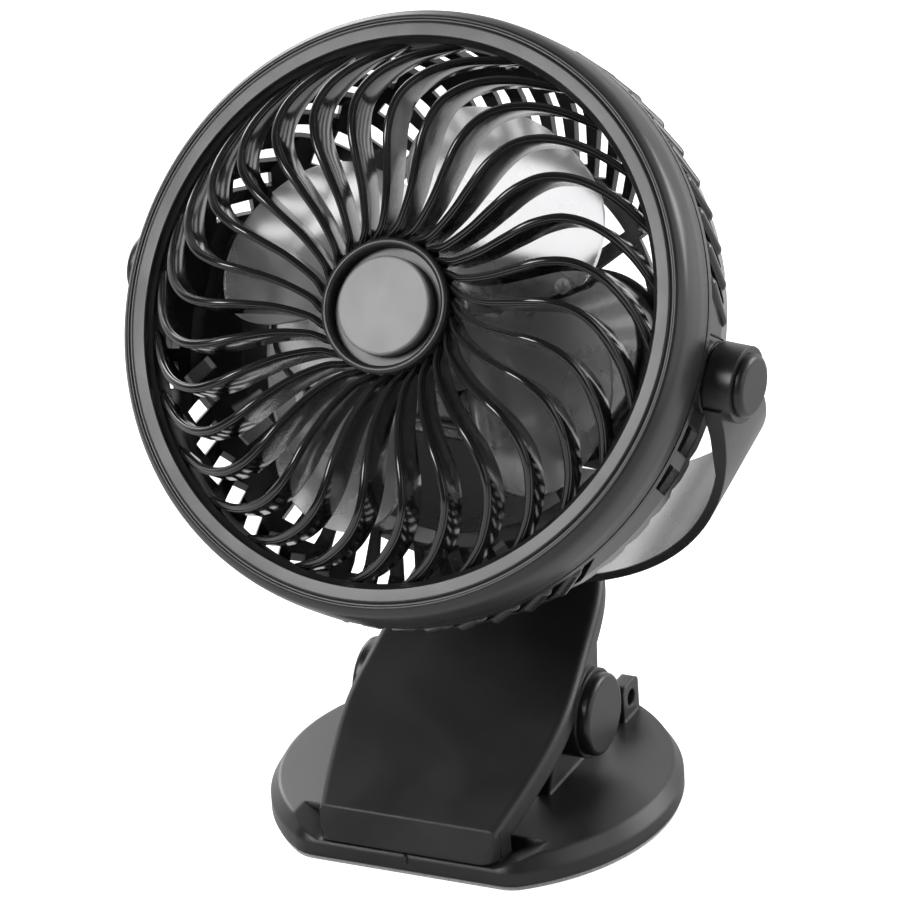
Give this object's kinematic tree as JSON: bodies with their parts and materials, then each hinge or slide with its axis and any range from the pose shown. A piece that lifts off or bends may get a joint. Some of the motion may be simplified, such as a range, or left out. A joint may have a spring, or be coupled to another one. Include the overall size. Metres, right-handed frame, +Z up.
{
  "type": "clip fan",
  "caption": "Small caged fan head that tilts in a half-ring yoke, swivels, and stands or clips on by a sprung jaw with a round foot.",
  "frame": {"origin": "on the ground, at the centre of the round foot's arc, on the pad's underside", "axes": "+Z up, -Y towards the foot's straight edge and the jaws' mouth, +X to the right seen from the front"},
  "size_m": [0.167, 0.1152, 0.2017],
  "materials": {
    "pad_foam": "light grey foam, matt",
    "foot_plastic": "black moulded plastic, satin",
    "jaw_rubber": "black soft rubber",
    "spring_steel": "bright spring wire",
    "clip_plastic": "black moulded plastic, satin",
    "steel": "zinc-plated steel",
    "cap_plastic": "black moulded plastic, satin",
    "yoke_plastic": "black moulded plastic, semi-gloss",
    "ring_plastic": "black nylon, matt",
    "grille_plastic": "black moulded plastic, glossy fins",
    "badge_grey": "mid grey satin disc",
    "cage_plastic": "black moulded plastic, semi-gloss",
    "motor_steel": "plated motor can",
    "motor_nylon": "natural nylon end cap",
    "bronze": "sintered bronze",
    "ferrite": "dark ferrite",
    "housing_plastic": "black moulded plastic, fine grain",
    "battery_wrap": "heat-shrink film over a steel cell",
    "board_green": "green solder mask",
    "switch_black": "black switch body",
    "socket_steel": "plated steel shell",
    "lens_clear": "clear plastic lens",
    "blade_clear": "smoky clear plastic",
    "rotor_iron": "laminated iron with windings",
    "button_plastic": "black button, glossy"
  },
  "bodies": {
    "foot": {"foot_pad": "pad_foam", "base_plate": "foot_plastic", "lower_jaw_pad": "jaw_rubber", "clip_spring": "spring_steel"},
    "arm": {"clip_arm": "clip_plastic", "upper_jaw_pad": "jaw_rubber", "hinge_pin": "steel", "hinge_cap_left": "cap_plastic", "hinge_cap_right": "cap_plastic"},
    "yoke": {"yoke": "yoke_plastic", "swivel_ring": "ring_plastic", "swivel_washer": "steel", "swivel_screw": "steel", "pivot_cap_left": "cap_plastic", "pivot_cap_right": "cap_plastic", "pivot_ring_left": "ring_plastic", "pivot_ring_right": "ring_plastic"},
    "head": {"front_grille": "grille_plastic", "hub_badge": "badge_grey", "rear_cage": "cage_plastic", "motor_cover": "cage_plastic", "motor_can": "motor_steel", "motor_end_cap": "motor_nylon", "motor_bearing": "bronze", "motor_magnets": "ferrite", "motor_screws": "steel", "cage_screws": "steel", "cover_screws": "steel", "pivot_screw_left": "steel", "pivot_screw_right": "steel", "rear_housing": "housing_plastic", "battery": "battery_wrap", "battery_contact_left": "spring_steel", "battery_contact_right": "spring_steel", "circuit_board": "board_green", "switch_body": "switch_black", "usb_socket": "socket_steel", "indicator_lens": "lens_clear"},
    "impeller": {"impeller": "blade_clear", "motor_shaft": "steel", "motor_rotor": "rotor_iron"},
    "button": {"power_button": "button_plastic"},
    "door": {"battery_door": "housing_plastic"}
  },
  "joints": [
    {"name": "clip_hinge", "type": "hinge", "parent": "foot", "child": "arm", "pos_m": [0, 0.008, 0.0236], "axis": [-1, 0, 0], "range_deg": [0, 28], "stiffness_Nm_per_rad": 0.8, "springref_deg": -34.38, "deforming": ["clip_spring"]},
    {"name": "swivel", "type": "hinge", "parent": "arm", "child": "yoke", "pos_m": [0, 0.00637, 0.13177], "axis": [0, -0.3584, 0.9336], "continuous": true},
    {"name": "head_tilt", "type": "hinge", "parent": "yoke", "child": "head", "pos_m": [-0.00049, -0.00109, 0.1289], "axis": [-0.9981, 0.057, 0.0219], "range_deg": [-55, 115]},
    {"name": "impeller_spin", "type": "hinge", "parent": "head", "child": "impeller", "pos_m": [-0.00145, -0.02317, 0.14265], "axis": [-0.0346, -0.8231, 0.5668], "continuous": true},
    {"name": "button_press", "type": "slide", "parent": "head", "child": "button", "axis": [-0.0346, -0.8231, 0.5668], "range_m": [0, 0.0012], "stiffness_N_per_m": 400},
    {"name": "battery_cover_pull", "type": "slide", "parent": "head", "child": "door", "axis": [0.0346, 0.8231, -0.5668], "range_m": [0, 0.015]}
  ]
}
